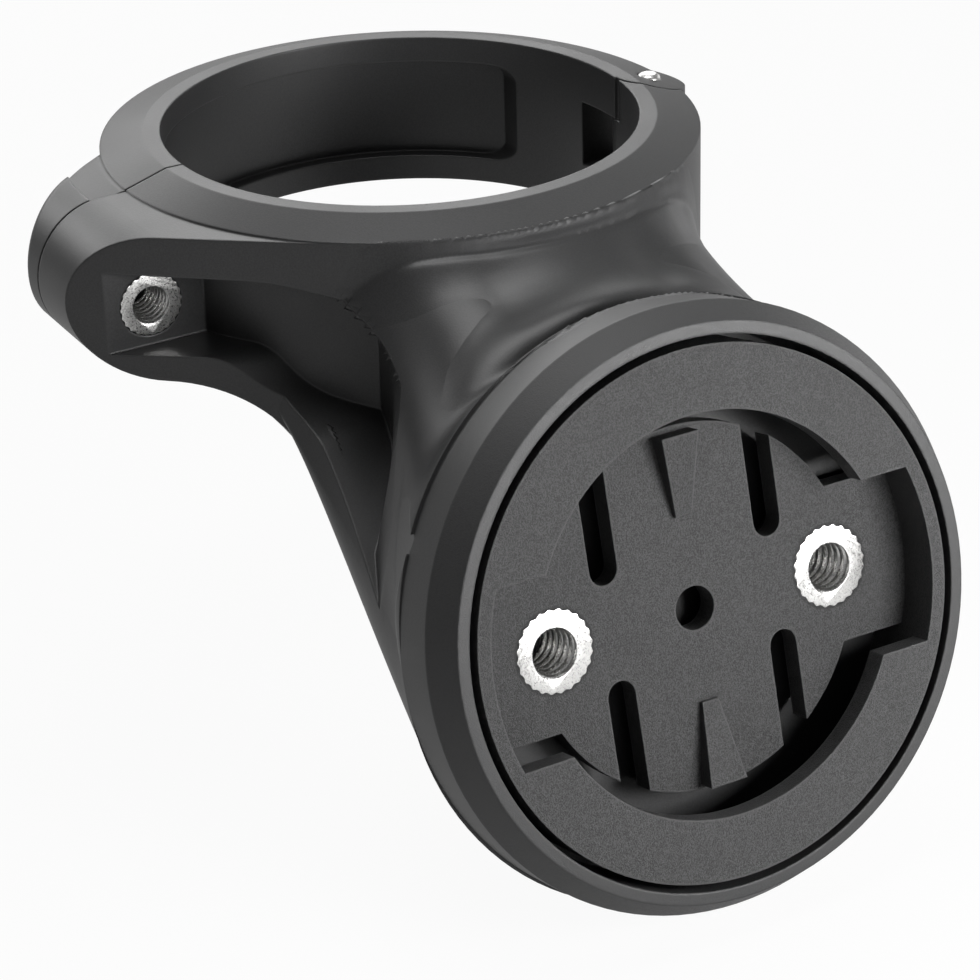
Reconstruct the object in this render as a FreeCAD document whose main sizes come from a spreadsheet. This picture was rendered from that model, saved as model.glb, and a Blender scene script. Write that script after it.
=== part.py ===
"""Hinged seatpost clamp with a forward-leaning head that carries a quarter-turn bayonet base.

Frame: millimetres, +Z up along the seatpost, origin at the middle of the clamp bore.
The head points to -Y, the hinge is on the +X side and the screw lugs on the -X side.
"""
import FreeCAD
import Part
import math
import os
import Sketcher

os.makedirs("parts", exist_ok=True)
doc = FreeCAD.newDocument("seatpost_radar_mount")
sheet = doc.addObject("Spreadsheet::Sheet", "Sizes")

# Driving dimensions, in millimetres and degrees, each with the word that names its cell.
DRIVING = [
    ("bore_radius", 16.55),
    ("ring_height", 11.1),
    ("ring_wall", 4.2),
    ("rim_land", 1.2),
    ("bevel_drop", 0.9),
    ("split_gap", 0.15),
    ("hinge_inset", 1.55),
    ("hinge_offset", 1.8),
    ("knuckle_radius", 2.6),
    ("knuckle_height", 4.5),
    ("knuckle_gap", 0.15),
    ("swing_clearance", 0.25),
    ("slot_reach", 2.7),
    ("pin_radius", 0.85),
    ("pin_clearance", 0.05),
    ("lug_reach", 22.45),
    ("lug_radius", 5.05),
    ("lug_drop", 0.5),
    ("front_lug_depth", 8.6),
    ("rear_lug_depth", 5.86),
    ("rear_face_offset", 18.16),
    ("split_step", 5.0),
    ("gusset_radius", 7.4),
    ("gusset_root", 8.5),
    ("gusset_fall", 15.2),
    ("jaw_lug_edge", 1.0),
    ("relief", 1.0),
    ("recess_depth", 1.0),
    ("recess_height", 7.4),
    ("recess_width", 28.4),
    ("recess_corner", 1.2),
    ("insert_radius", 2.6),
    ("thread_radius", 1.63),
    ("clamp_insert_radius", 2.2),
    ("clamp_thread_radius", 1.38),
    ("screw_inset", 0.25),
    ("screw_drop", 1.0),
    ("screw_clearance", 0.22),
    ("clamp_insert_length", 6.0),
    ("clamp_insert_seat", 6.2),
    ("clamp_wall", 1.6),
    ("clamp_grip", 2.5),
    ("clamp_insert_gap", 0.2),
    ("cap_radius", 2.8),
    ("cap_height", 2.8),
    ("cap_clearance", 0.35),
    ("hex_across", 2.5),
    ("hex_depth", 1.7),
    ("shank_hole_play", 0.3),
    ("pocket_wall", 2.85),
    ("pocket_inner", 7.0),
    ("pocket_top", 1.9),
    ("pocket_foot", 3.85),
    ("pocket_brow_y", 13.2),
    ("pocket_brow_z", 1.75),
    ("pocket_saddle_y", 20.0),
    ("pocket_saddle_z", 0.85),
    ("pocket_root_y", 10.9),
    ("pocket_root_z", 3.7),
    ("pocket_knee_y", 13.3),
    ("pocket_knee_z", 6.4),
    ("pocket_heel_y", 17.4),
    ("pocket_heel_z", 8.2),
    ("pocket_end", 33.0),
    ("pocket_end_top", 7.8),
    ("pocket_end_foot", 19.1),
    ("pocket_brow_round", 8.0),
    ("pocket_saddle_round", 12.0),
    ("pocket_root_round", 2.0),
    ("pocket_knee_round", 6.0),
    ("pocket_heel_round", 7.0),
    ("wall_level", 2.0),
    ("wall_foot", 20.0),
    ("wall_start_x", 10.5),
    ("wall_start_y", 15.0),
    ("wall_turn_x", 11.3),
    ("wall_turn_y", 19.0),
    ("wall_bend_y", 24.5),
    ("wall_bend_top_x", 12.3),
    ("wall_bend_foot_inset", 2.18),
    ("wall_end_top_inset", 4.15),
    ("wall_end_foot_outset", 0.35),
    ("wall_turn_round", 6.0),
    ("neck_start", 12.0),
    ("neck_start_top", 2.6),
    ("neck_start_foot", 7.8),
    ("neck_start_half", 16.9),
    ("neck_start_round", 6.0),
    ("waist_forward", 19.25),
    ("waist_drop", 5.5),
    ("waist_lean", 14.5),
    ("waist_top", 8.2),
    ("waist_foot", 6.95),
    ("waist_round", 7.0),
    ("waist_top_inset", 6.25),
    ("waist_foot_inset", 3.05),
    ("chest_forward", 24.5),
    ("chest_drop", 9.45),
    ("chest_lean", 8.5),
    ("chest_height_inset", 9.55),
    ("chest_top_inset", 5.25),
    ("chest_foot_inset", 2.65),
    ("chest_round", 8.0),
    ("neck_round", 4.8),
    ("neck_under_round", 1.4),
    ("neck_sink", 0.1),
    ("neck_end_inset", 0.05),
    ("neck_end_flat", 0.6),
    ("head_forward", 40.14),
    ("head_drop", 15.11),
    ("head_tilt", 14.6),
    ("head_radius", 19.65),
    ("rim_chamfer", 1.15),
    ("rim_bevel", 2.0),
    ("head_side", 5.4),
    ("head_back", 8.6),
    ("head_back_round", 2.6),
    ("cup_wall", 1.96),
    ("cup_depth", 5.8),
    ("base_gap", 0.53),
    ("base_wall", 0.96),
    ("lip_width", 3.2),
    ("lip_thickness", 1.5),
    ("floor_level", 3.0),
    ("floor_thickness", 1.6),
    ("floor_edge", 1.1),
    ("tab_opening", 11.7),
    ("floor_band", 10.5),
    ("slot_inner", 5.1),
    ("slot_width", 2.0),
    ("slot_start", 3.15),
    ("slot_round", 0.98),
    ("tongue_overrun", 0.5),
    ("ramp_margin", 0.4),
    ("ramp_length", 5.4),
    ("ramp_low", 0.3),
    ("ramp_height", 1.25),
    ("ramp_tip_width", 1.2),
    ("ramp_end_width", 2.7),
    ("centre_hole", 2.85),
    ("insert_margin", 5.9),
    ("base_insert_length", 6.3),
    ("boss_wall", 1.6),
    ("boss_clearance", 0.25),
    ("base_web", 2.2),
    ("base_grip", 2.0),
    ("hole_overrun", 1.0),
    ("button_radius", 3.8),
    ("button_height", 2.2),
    ("button_clearance", 0.3),
    ("button_hex_depth", 1.3),
]

# Sizes worked out from the driving ones.
DERIVED = [
    ("ring_outer", "bore_radius + ring_wall"),
    ("half_height", "ring_height / 2"),
    ("land_radius", "bore_radius + rim_land"),
    ("blank_radius", "ring_outer + knuckle_radius"),
    ("blank_drop", "bevel_drop * (blank_radius - land_radius) / (ring_outer - land_radius)"),
    ("blank_shoulder", "half_height - blank_drop"),
    ("hinge_x", "ring_outer - hinge_inset"),
    ("half_gap", "split_gap / 2"),
    ("half_knuckle", "knuckle_height / 2"),
    ("ear_level", "half_knuckle + knuckle_gap"),
    ("knuckle_swing", "knuckle_radius + swing_clearance"),
    ("lug_top", "lug_radius - lug_drop"),
    ("lug_bottom", "lug_radius + lug_drop"),
    ("lug_tip", "lug_reach + lug_radius"),
    ("gusset_centre", "lug_bottom + gusset_radius"),
    ("rim_radius", "head_radius - rim_chamfer"),
    ("cup_radius", "head_radius - cup_wall"),
    ("base_radius", "cup_radius - base_gap"),
    ("tab_radius", "base_radius - base_wall"),
    ("lip_radius", "tab_radius - lip_width"),
    ("floor_radius", "lip_radius - floor_edge"),
    ("ramp_end", "floor_radius - ramp_margin"),
    ("ramp_start", "ramp_end - ramp_length"),
    ("insert_half", "tab_radius - insert_margin"),
    ("chest_half_height", "head_radius - chest_height_inset"),
    ("wall_bend_foot_x", "head_radius - wall_bend_foot_inset"),
    ("wall_end_top_x", "head_radius - wall_end_top_inset"),
    ("wall_end_foot_x", "head_radius + wall_end_foot_outset"),
    ("waist_half_top", "head_radius - waist_top_inset"),
    ("waist_half_foot", "head_radius - waist_foot_inset"),
    ("chest_half_top", "head_radius - chest_top_inset"),
    ("chest_half_foot", "head_radius - chest_foot_inset"),
    ("ring_shoulder", "half_height - bevel_drop"),
    ("front_lug_span", "sqrt(lug_reach ^ 2 + front_lug_depth ^ 2)"),
    ("rear_lug_span", "sqrt(lug_reach ^ 2 + rear_lug_depth ^ 2)"),
    ("front_face_angle", "atan(lug_reach / front_lug_depth) - acos(ring_outer / front_lug_span)"),
    ("rear_face_angle", "atan(lug_reach / rear_lug_depth) - acos(rear_face_offset / rear_lug_span)"),
    ("front_touch_x", "ring_outer * sin(front_face_angle)"),
    ("front_touch_y", "ring_outer * cos(front_face_angle)"),
    ("front_far_x", "front_touch_x + ring_outer * cos(front_face_angle)"),
    ("front_far_y", "front_touch_y - ring_outer * sin(front_face_angle)"),
    ("rear_near_x", "rear_face_offset * sin(rear_face_angle)"),
    ("rear_near_y", "rear_face_offset * cos(rear_face_angle)"),
    ("rear_far_x", "rear_near_x + head_forward * cos(rear_face_angle)"),
    ("rear_far_y", "rear_near_y - head_forward * sin(rear_face_angle)"),
    ("half_recess", "recess_width / 2"),
    ("half_recess_height", "recess_height / 2"),
    ("recess_radius", "bore_radius + recess_depth"),
    ("pocket_ring_radius", "bore_radius + pocket_wall"),
    ("half_tab", "tab_opening / 2"),
    ("half_band", "floor_band / 2"),
    ("floor_back", "floor_level + floor_thickness"),
    ("slot_outer", "slot_inner + slot_width"),
    ("slot_middle", "slot_inner + slot_width / 2"),
    ("slot_round_centre", "slot_start + slot_round"),
    ("ramp_tip_half", "ramp_tip_width / 2"),
    ("ramp_end_half", "ramp_end_width / 2"),
    ("boss_radius", "insert_radius + boss_wall"),
    ("boss_end", "floor_level + base_insert_length"),
    ("boss_pocket_radius", "boss_radius + boss_clearance"),
    ("boss_pocket_depth", "boss_end + split_gap"),
    ("screw_seat", "boss_pocket_depth + base_web"),
    ("shank_radius", "thread_radius - screw_clearance"),
    ("screw_reach", "lug_reach - screw_inset"),
    ("clamp_shank_radius", "clamp_thread_radius - screw_clearance"),
    ("clamp_hole_radius", "clamp_thread_radius + shank_hole_play"),
    ("shank_hole_radius", "thread_radius + shank_hole_play"),
    ("base_screw_length", "screw_seat - boss_end + base_grip"),
    ("channel_radius", "button_radius + button_clearance"),
    ("cap_seat", "half_gap + clamp_wall"),
    ("counterbore_radius", "cap_radius + cap_clearance"),
    ("clamp_screw_length", "cap_seat + clamp_insert_gap + clamp_grip"),
    ("pin_hole_radius", "pin_radius + pin_clearance"),
    ("recess_start", "half_gap"),
    ("cap_top", "cap_seat + cap_height"),
    ("hex_half", "hex_across / 2"),
    ("hex_corner", "hex_half / cos(30)"),
    ("hex_quarter", "hex_corner / 2"),
    ("boss_forward", "head_forward - boss_end * cos(head_tilt)"),
    ("boss_drop", "head_drop + boss_end * sin(head_tilt)"),
    ("button_top", "screw_seat + button_height"),
    ("button_forward", "head_forward - button_top * cos(head_tilt)"),
    ("button_drop", "head_drop + button_top * sin(head_tilt)"),
    ("tongue_end", "floor_radius + tongue_overrun"),
    ("floor_forward", "head_forward - floor_level * cos(head_tilt)"),
    ("floor_drop", "head_drop + floor_level * sin(head_tilt)"),
    ("centre_hole_radius", "centre_hole / 2"),
    ("neck_end_depth", "head_side - neck_sink"),
    ("neck_end_forward", "head_forward - neck_end_depth * cos(head_tilt)"),
    ("neck_end_drop", "head_drop + neck_end_depth * sin(head_tilt)"),
    ("neck_end_half", "head_radius - neck_end_inset"),
    ("neck_end_round", "neck_end_half - neck_end_flat"),
    ("seat_forward", "head_forward - screw_seat * cos(head_tilt)"),
    ("seat_drop", "head_drop + screw_seat * sin(head_tilt)"),
]
row = 1
for alias, size in DRIVING:
    sheet.set("A%d" % row, alias)
    sheet.set("B%d" % row, str(size))
    sheet.setAlias("B%d" % row, alias)
    row += 1
for alias, formula in DERIVED:
    sheet.set("A%d" % row, alias)
    sheet.set("B%d" % row, "=" + formula)
    sheet.setAlias("B%d" % row, alias)
    row += 1
doc.recompute()


def words(text):
    """Split a size text such as "-bore_radius + rim_land" into signs and names."""
    return text.replace("-", " - ").replace("+", " + ").split()


def number(text):
    """The present value of a size text."""
    total = 0.0
    sign = 1.0
    for word in words(text):
        if word == "-":
            sign = -1.0
        elif word == "+":
            sign = 1.0
        elif word[0].isdigit():
            total += sign * float(word)
        else:
            total += sign * float(sheet.get(word))
    return total


def formula(text):
    """The same size text as a formula on the sheet."""
    return " ".join("Sizes." + word if word[0].isalpha() else word for word in words(text))


def new_body(name):
    """A sub-part, labelled with its node name."""
    body = doc.addObject("PartDesign::Body", name)
    body.Label = name
    return body


def new_sketch(body, name, role, shift=("0", "0", "0"), axis=None, angle="0"):
    """A sketch on one of the body's own planes, moved and turned by sheet values."""
    sketch = body.newObject("Sketcher::SketchObject", name)
    support = [item for item in body.Origin.OriginFeatures if item.Role == role][0]
    sketch.AttachmentSupport = (support, [""])
    sketch.MapMode = "FlatFace"
    turn = FreeCAD.Rotation(FreeCAD.Vector(*axis), number(angle)) if axis else FreeCAD.Rotation()
    place = FreeCAD.Vector(*[number(text) for text in shift])
    sketch.AttachmentOffset = FreeCAD.Placement(place, turn)
    for letter, text in zip("xyz", shift):
        if text != "0":
            sketch.setExpression("AttachmentOffset.Base." + letter, formula(text))
    if axis:
        sketch.setExpression("AttachmentOffset.Rotation.Angle", formula(angle))
    return sketch


# Placing of sketches on the head: its axis lies in the YZ plane and its face leans back.
HEAD_TURN = {"shift": ("-head_forward", "-head_drop", "0"), "axis": (0, 0, 1), "angle": "-head_tilt"}
HEAD_FACE = {"shift": ("0", "-head_forward", "-head_drop"), "axis": (1, 0, 0), "angle": "90 - head_tilt"}


def fix(sketch, item, end, across, up):
    """Hold one point of a sketch at sheet values measured from the origin."""
    for kind, text in (("DistanceX", across), ("DistanceY", up)):
        if text is None:
            continue
        if text == "0":
            line = -2 if kind == "DistanceX" else -1
            sketch.addConstraint(Sketcher.Constraint("PointOnObject", item, end, line))
            continue
        index = sketch.addConstraint(Sketcher.Constraint(kind, -1, 1, item, end, number(text)))
        sketch.setExpression("Constraints[%d]" % index, formula(text))


def outline(sketch, corners):
    """A closed outline of straight sides through corners given as size texts."""
    spots = [FreeCAD.Vector(number(across), number(up), 0) for across, up in corners]
    first = sketch.GeometryCount
    count = len(spots)
    for index in range(count):
        sketch.addGeometry(Part.LineSegment(spots[index], spots[(index + 1) % count]), False)
    for index in range(count):
        following = first + (index + 1) % count
        sketch.addConstraint(Sketcher.Constraint("Coincident", first + index, 2, following, 1))
    for index, (across, up) in enumerate(corners):
        fix(sketch, first + index, 1, across, up)


def circle(sketch, across, up, radius):
    """A circle with its centre and radius held by size texts."""
    centre = FreeCAD.Vector(number(across), number(up), 0)
    shape = Part.Circle(centre, FreeCAD.Vector(0, 0, 1), number(radius))
    item = sketch.addGeometry(shape, False)
    if across == "0" and up == "0":
        sketch.addConstraint(Sketcher.Constraint("Coincident", item, 3, -1, 1))
    else:
        fix(sketch, item, 3, across, up)
    index = sketch.addConstraint(Sketcher.Constraint("Radius", item, number(radius)))
    sketch.setExpression("Constraints[%d]" % index, formula(radius))


def feature(body, kind, name, sketch, **options):
    """Add a sketch-based feature; text options other than Type are bound to the sheet."""
    item = body.newObject("PartDesign::" + kind, name)
    item.Profile = sketch
    for key, option in options.items():
        if isinstance(option, str) and key != "Type":
            item.setExpression(key, formula(option))
        else:
            setattr(item, key, option)
    sketch.Visibility = False
    return item


def turned(body, name, role, corners, kind="Revolution", about="V_Axis", **placing):
    """A full turn of an outline about one of its sketch axes."""
    sketch = new_sketch(body, name + "Sketch", role, **placing)
    outline(sketch, corners)
    item = feature(body, kind, name, sketch)
    item.ReferenceAxis = (sketch, [about])
    item.Angle = 360.0
    return item


def rounded_section(sketch, top, foot, half_top, half_foot, round_top, round_foot):
    """A loft section, mirrored left to right: flat top and foot, leaning sides, round corners."""
    t, b = number(top), number(foot)
    rt, rb = number(round_top), number(round_foot)
    xt, xb = number(half_top) - rt, number(half_foot) - rb
    yt, yb = t - rt, b + rb
    quarter = math.pi / 2
    lean = math.atan2(yb - yt, xb - xt) + math.acos((rt - rb) / math.hypot(xb - xt, yb - yt))
    vec = FreeCAD.Vector

    def side(start, end):
        return sketch.addGeometry(Part.LineSegment(vec(*start), vec(*end)), False)

    def corner(x, y, radius, start, end):
        ring = Part.Circle(vec(x, y, 0), vec(0, 0, 1), radius)
        return sketch.addGeometry(Part.ArcOfCircle(ring, start, end), False)

    def touch(sign, x, y, radius):
        return (sign * (x + radius * math.cos(lean)), y + radius * math.sin(lean), 0)

    upper = side((-xt, t, 0), (xt, t, 0))
    right_top = corner(xt, yt, rt, lean, quarter)
    right = side(touch(1, xt, yt, rt), touch(1, xb, yb, rb))
    right_foot = corner(xb, yb, rb, -quarter, lean)
    lower = side((xb, b, 0), (-xb, b, 0))
    left_foot = corner(-xb, yb, rb, math.pi - lean, 3 * quarter)
    left = side(touch(-1, xb, yb, rb), touch(-1, xt, yt, rt))
    left_top = corner(-xt, yt, rt, quarter, math.pi - lean)
    joins = [
        (upper, 2, right_top, 2),
        (right_top, 1, right, 1),
        (right, 2, right_foot, 2),
        (right_foot, 1, lower, 1),
        (lower, 2, left_foot, 2),
        (left_foot, 1, left, 1),
        (left, 2, left_top, 2),
        (left_top, 1, upper, 1),
    ]
    for join in joins:
        sketch.addConstraint(Sketcher.Constraint("Tangent", *join))
    for item, across, up in (
        (right_top, half_top + " - " + round_top, top + " - " + round_top),
        (left_top, "-" + half_top + " + " + round_top, top + " - " + round_top),
        (right_foot, half_foot + " - " + round_foot, foot + " + " + round_foot),
        (left_foot, "-" + half_foot + " + " + round_foot, foot + " + " + round_foot),
    ):
        fix(sketch, item, 3, across, up)
    for item, text in ((right_top, round_top), (right_foot, round_foot)):
        index = sketch.addConstraint(Sketcher.Constraint("Radius", item, number(text)))
        sketch.setExpression("Constraints[%d]" % index, formula(text))
    sketch.addConstraint(Sketcher.Constraint("Equal", right_top, left_top))
    sketch.addConstraint(Sketcher.Constraint("Equal", right_foot, left_foot))


def lug_outline(sketch, with_gusset):
    """Side view of a lug: flat top, round end, and below it a flat foot or a hollow curve."""
    reach, drop, radius = number("lug_reach"), number("lug_drop"), number("lug_radius")
    top, low = number("lug_top"), number("gusset_centre" if with_gusset else "lug_bottom")
    hollow = number("gusset_radius")
    vec = FreeCAD.Vector
    up = vec(0, 0, 1)
    upper = sketch.addGeometry(Part.LineSegment(vec(0, top, 0), vec(-reach, top, 0)), False)
    end = Part.Circle(vec(-reach, -drop, 0), up, radius)
    end = sketch.addGeometry(Part.ArcOfCircle(end, math.pi / 2, 3 * math.pi / 2), False)
    last = (end, 2)
    foot_x = -reach
    if with_gusset:
        curve = Part.Circle(vec(-reach, -low, 0), up, hollow)
        curve = sketch.addGeometry(Part.ArcOfCircle(curve, 0, math.pi / 2), False)
        last = (curve, 1)
        foot_x = -reach + hollow
    foot = sketch.addGeometry(Part.LineSegment(vec(foot_x, -low, 0), vec(0, -low, 0)), False)
    close = sketch.addGeometry(Part.LineSegment(vec(0, -low, 0), vec(0, top, 0)), False)
    sketch.addConstraint(Sketcher.Constraint("Tangent", upper, 2, end, 1))
    if with_gusset:
        sketch.addConstraint(Sketcher.Constraint("Tangent", end, 2, curve, 2))
        fix(sketch, curve, 3, "-lug_reach", "-gusset_centre")
        fix(sketch, foot, 1, None, "-gusset_centre")
    sketch.addConstraint(Sketcher.Constraint("Coincident", last[0], last[1], foot, 1))
    sketch.addConstraint(Sketcher.Constraint("Coincident", foot, 2, close, 1))
    sketch.addConstraint(Sketcher.Constraint("Coincident", close, 2, upper, 1))
    sketch.addConstraint(Sketcher.Constraint("Horizontal", upper))
    sketch.addConstraint(Sketcher.Constraint("Horizontal", foot))
    sketch.addConstraint(Sketcher.Constraint("Vertical", close))
    sketch.addConstraint(Sketcher.Constraint("PointOnObject", close, 2, -2))
    fix(sketch, end, 3, "-lug_reach", "-lug_drop")
    index = sketch.addConstraint(Sketcher.Constraint("Radius", end, radius))
    sketch.setExpression("Constraints[%d]" % index, formula("lug_radius"))
    if not with_gusset:
        fix(sketch, end, 2, "-lug_reach", None)


def fillet(body, name, base, edges, radius):
    """Round the named edges of the body's last feature."""
    item = body.newObject("PartDesign::Fillet", name)
    item.Base = (base, edges)
    item.setExpression("Radius", formula(radius))
    doc.recompute()
    return item


def edges_where(feature_item, test):
    """Names of the edges whose midpoint and length pass the test."""
    names = []
    for index, edge in enumerate(feature_item.Shape.Edges):
        middle = edge.valueAt((edge.FirstParameter + edge.LastParameter) / 2)
        if test(middle, edge):
            names.append("Edge%d" % (index + 1))
    return names


def on_front_face(point):
    """Whether a point lies on the bracket lug's slanted front face."""
    angle = math.radians(number("front_face_angle"))
    return abs(-point.x * math.sin(angle) - point.y * math.cos(angle) - number("ring_outer")) < 0.02


def on_rear_face(point):
    """Whether a point lies on the rear lug's slanted back face."""
    angle = math.radians(number("rear_face_angle"))
    return abs(-point.x * math.sin(angle) + point.y * math.cos(angle)
               - number("rear_face_offset")) < 0.02


# Side pocket of the bracket, kept as its own tool body.
tool = new_body("pocket_tool")
side_sketch = new_sketch(tool, "PocketSide", "YZ_Plane", shift=("0", "0", "-pocket_inner"))
outline(side_sketch, [
    ("-clamp_insert_seat", "pocket_top"),
    ("-pocket_brow_y", "pocket_brow_z"),
    ("-pocket_saddle_y", "-pocket_saddle_z"),
    ("-pocket_end", "-pocket_end_top"),
    ("-pocket_end", "-pocket_end_foot"),
    ("-pocket_heel_y", "-pocket_heel_z"),
    ("-pocket_knee_y", "-pocket_knee_z"),
    ("-pocket_root_y", "-pocket_root_z"),
    ("-clamp_insert_seat", "-pocket_foot"),
])
tool_pad = feature(tool, "Pad", "PocketBlock", side_sketch, Length="lug_tip", Reversed=True)
doc.recompute()
for name, radius, forward, drop in (
    ("PocketBrowRound", "pocket_brow_round", "pocket_brow_y", "-pocket_brow_z"),
    ("PocketSaddleRound", "pocket_saddle_round", "pocket_saddle_y", "pocket_saddle_z"),
    ("PocketRootRound", "pocket_root_round", "pocket_root_y", "pocket_root_z"),
    ("PocketKneeRound", "pocket_knee_round", "pocket_knee_y", "pocket_knee_z"),
    ("PocketHeelRound", "pocket_heel_round", "pocket_heel_y", "pocket_heel_z"),
):
    picked = edges_where(tool.Tip, lambda p, e: abs(p.y + number(forward)) < 0.05
                         and abs(p.z + number(drop)) < 0.05)
    fillet(tool, name, tool.Tip, picked, radius)
wall_top = new_sketch(tool, "PocketWallTop", "XY_Plane", shift=("0", "0", "wall_level"))
wall_low = new_sketch(tool, "PocketWallLow", "XY_Plane", shift=("0", "0", "-wall_foot"))
for sketch, bend_x, end_x in (
    (wall_top, "-wall_bend_top_x", "-wall_end_top_x"),
    (wall_low, "-wall_bend_foot_x", "-wall_end_foot_x"),
):
    outline(sketch, [
        ("0", "-wall_start_y"),
        ("-wall_start_x", "-wall_start_y"),
        ("-wall_turn_x", "-wall_turn_y"),
        (bend_x, "-wall_bend_y"),
        (end_x, "-pocket_end"),
        ("0", "-pocket_end"),
    ])
wall = tool.newObject("PartDesign::SubtractiveLoft", "PocketWall")
wall.Profile = wall_top
wall.Sections = [wall_low]
wall.Ruled = True
doc.recompute()
picked = edges_where(tool.Tip, lambda p, e: abs(p.y + number("wall_turn_y")) < 0.05
                     and abs(p.x + number("wall_turn_x")) < 0.05)
fillet(tool, "PocketTurnRound", tool.Tip, picked, "wall_turn_round")
ring_sketch = new_sketch(tool, "PocketRing", "XY_Plane", shift=("0", "0", "lug_tip"))
circle(ring_sketch, "0", "0", "pocket_ring_radius")
tool_ring = feature(tool, "Pocket", "PocketInner", ring_sketch, Type="ThroughAll")
doc.recompute()

# Bracket: front half of the ring, its lug, the neck, the head cup and the middle knuckle.
bracket = new_body("bracket")
lug_sketch = new_sketch(bracket, "LugSide", "XZ_Plane", shift=("0", "0", "half_gap"))
lug_outline(lug_sketch, False)
feature(bracket, "Pad", "LugBlock", lug_sketch, Length="front_touch_y")
gusset_sketch = new_sketch(bracket, "GussetSide", "XZ_Plane", shift=("0", "0", "gusset_root"))
lug_outline(gusset_sketch, True)
feature(bracket, "Pad", "GussetBlock", gusset_sketch, Length="front_touch_y - gusset_root")
under_sketch = new_sketch(bracket, "GussetUnderSide", "YZ_Plane")
outline(under_sketch, [
    ("-gusset_root", "-lug_bottom"),
    ("-ring_outer", "-gusset_fall"),
    ("-gusset_root", "-gusset_fall"),
])
feature(bracket, "Pocket", "GussetUnder", under_sketch, Length="lug_tip + lug_tip", Midplane=True)
face_sketch = new_sketch(bracket, "LugFacePlan", "XY_Plane", shift=("0", "0", "half_height"))
outline(face_sketch, [
    ("-front_touch_x", "-front_touch_y"),
    ("-front_far_x", "-front_far_y"),
    ("-front_far_x", "-head_forward"),
    ("0", "-head_forward"),
    ("0", "-front_touch_y"),
])
feature(bracket, "Pocket", "LugFace", face_sketch, Type="ThroughAll")
doc.recompute()

start = new_sketch(bracket, "NeckStart", "XZ_Plane", shift=("0", "0", "neck_start"))
rounded_section(start, "neck_start_top", "-neck_start_foot", "neck_start_half",
                "neck_start_half", "neck_start_round", "neck_under_round")
waist = new_sketch(bracket, "NeckWaist", "XZ_Plane", axis=(1, 0, 0), angle="waist_lean",
                   shift=("0", "-waist_drop", "waist_forward"))
rounded_section(waist, "waist_top", "-waist_foot", "waist_half_top",
                "waist_half_foot", "waist_round", "neck_under_round")
chest = new_sketch(bracket, "NeckChest", "XZ_Plane", axis=(1, 0, 0), angle="chest_lean",
                   shift=("0", "-chest_drop", "chest_forward"))
rounded_section(chest, "chest_half_height", "-chest_half_height", "chest_half_top",
                "chest_half_foot", "chest_round", "neck_round")
finish = new_sketch(bracket, "NeckEnd", "XZ_Plane", axis=(1, 0, 0), angle="-head_tilt",
                    shift=("0", "-neck_end_drop", "neck_end_forward"))
rounded_section(finish, "neck_end_half", "-neck_end_half", "neck_end_half",
                "neck_end_half", "neck_end_round", "neck_end_round")
neck = bracket.newObject("PartDesign::AdditiveLoft", "Neck")
neck.Profile = start
neck.Sections = [waist, chest, finish]
neck.Ruled = False
doc.recompute()

turned(bracket, "Ring", "XZ_Plane", [
    ("bore_radius", "-half_height"),
    ("ring_outer", "-half_height"),
    ("ring_outer", "ring_shoulder"),
    ("land_radius", "half_height"),
    ("bore_radius", "half_height"),
])
doc.recompute()
turned(bracket, "Head", "YZ_Plane", [
    ("0", "rim_radius"),
    ("rim_bevel", "head_radius"),
    ("head_side", "head_radius"),
    ("head_back", "head_radius - head_back_round"),
    ("head_back", "0"),
    ("0", "0"),
], about="H_Axis", **HEAD_TURN)
doc.recompute()

bore_sketch = new_sketch(bracket, "BorePlan", "XY_Plane", shift=("0", "0", "half_height"))
circle(bore_sketch, "0", "0", "bore_radius")
feature(bracket, "Pocket", "Bore", bore_sketch, Type="ThroughAll")
relief_sketch = new_sketch(bracket, "ReliefPlan", "XY_Plane", shift=("0", "0", "-half_height"))
circle(relief_sketch, "0", "0", "bore_radius + relief")
feature(bracket, "Pocket", "ReliefUnderRing", relief_sketch, Type="ThroughAll")
half_sketch = new_sketch(bracket, "HalfPlan", "XY_Plane", shift=("0", "0", "half_height"))
outline(half_sketch, [
    ("-lug_tip - split_step", "-half_gap"),
    ("land_radius - split_step", "-half_gap"),
    ("land_radius - split_step", "-hinge_offset"),
    ("lug_tip", "-hinge_offset"),
    ("lug_tip", "lug_tip"),
    ("-lug_tip - split_step", "lug_tip"),
])
feature(bracket, "Pocket", "RearHalf", half_sketch, Type="ThroughAll")
for name, level, upward in (("Upper", "ear_level", True), ("Lower", "-ear_level", False)):
    ear_sketch = new_sketch(bracket, name + "EarPlan", "XY_Plane", shift=("0", "0", level))
    circle(ear_sketch, "hinge_x", "-hinge_offset", "knuckle_swing")
    feature(bracket, "Pocket", name + "EarRecess", ear_sketch, Type="ThroughAll",
            Reversed=upward)
knuckle_sketch = new_sketch(bracket, "KnucklePlan", "XY_Plane", shift=("0", "0", "-half_knuckle"))
circle(knuckle_sketch, "hinge_x", "-hinge_offset", "knuckle_radius")
feature(bracket, "Pad", "Knuckle", knuckle_sketch, Length="knuckle_height")
pin_sketch = new_sketch(bracket, "PinPlan", "XY_Plane", shift=("0", "0", "half_height"))
circle(pin_sketch, "hinge_x", "-hinge_offset", "pin_hole_radius")
feature(bracket, "Pocket", "PinHole", pin_sketch, Type="ThroughAll")
doc.recompute()

side_cut = bracket.newObject("PartDesign::Boolean", "SidePocket")
side_cut.setObjects([tool])
side_cut.Type = "Cut"
doc.recompute()

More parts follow.
